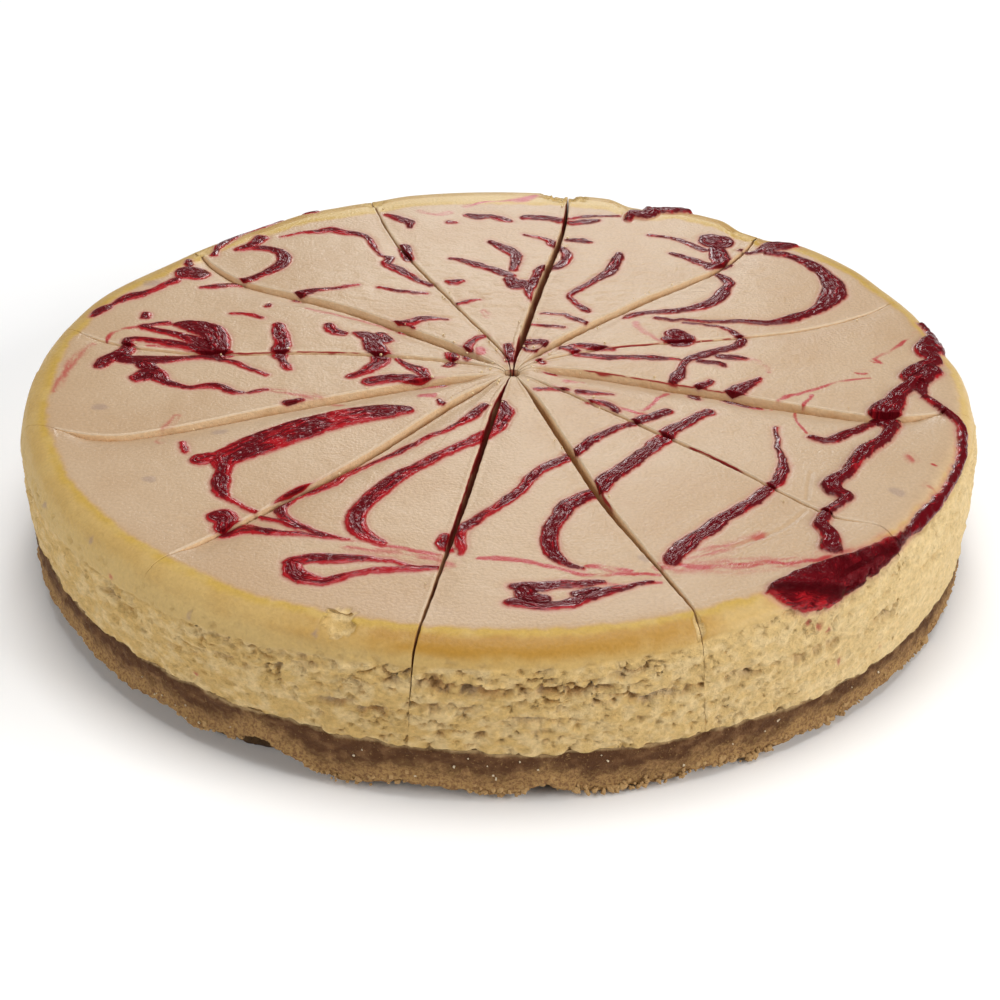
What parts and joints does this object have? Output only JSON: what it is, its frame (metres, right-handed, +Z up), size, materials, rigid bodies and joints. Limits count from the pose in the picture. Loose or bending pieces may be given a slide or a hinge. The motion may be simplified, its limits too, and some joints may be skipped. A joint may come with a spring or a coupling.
{
  "type": "baked cheesecake",
  "caption": "Whole round baked cheesecake with a red jam swirl on top, set filling over a biscuit crust, already cut into wedges that keep the round shape.",
  "frame": {"origin": "centre of the cake on the surface it stands on", "axes": "+Z up along the cake's axis; -Y towards the front, where the widest cut ends; +X to the right seen from the front"},
  "size_m": [0.2558, 0.2558, 0.0462],
  "materials": {
    "filling": "baked cream cheese filling, pale beige satin top with glossy dark red jam, pale yellow crumbly wall",
    "crust": "pressed biscuit crumb, grey brown above and golden sandy at the foot"
  },
  "bodies": {
    "root": {"filling_01": "filling", "filling_02": "filling", "filling_03": "filling", "filling_04": "filling", "filling_05": "filling", "filling_06": "filling", "filling_07": "filling", "filling_08": "filling", "filling_09": "filling", "filling_10": "filling", "filling_11": "filling", "filling_12": "filling", "crust_01": "crust", "crust_02": "crust", "crust_03": "crust", "crust_04": "crust", "crust_05": "crust", "crust_06": "crust", "crust_07": "crust", "crust_08": "crust", "crust_09": "crust", "crust_10": "crust", "crust_11": "crust", "crust_12": "crust"}
  },
  "joints": []
}
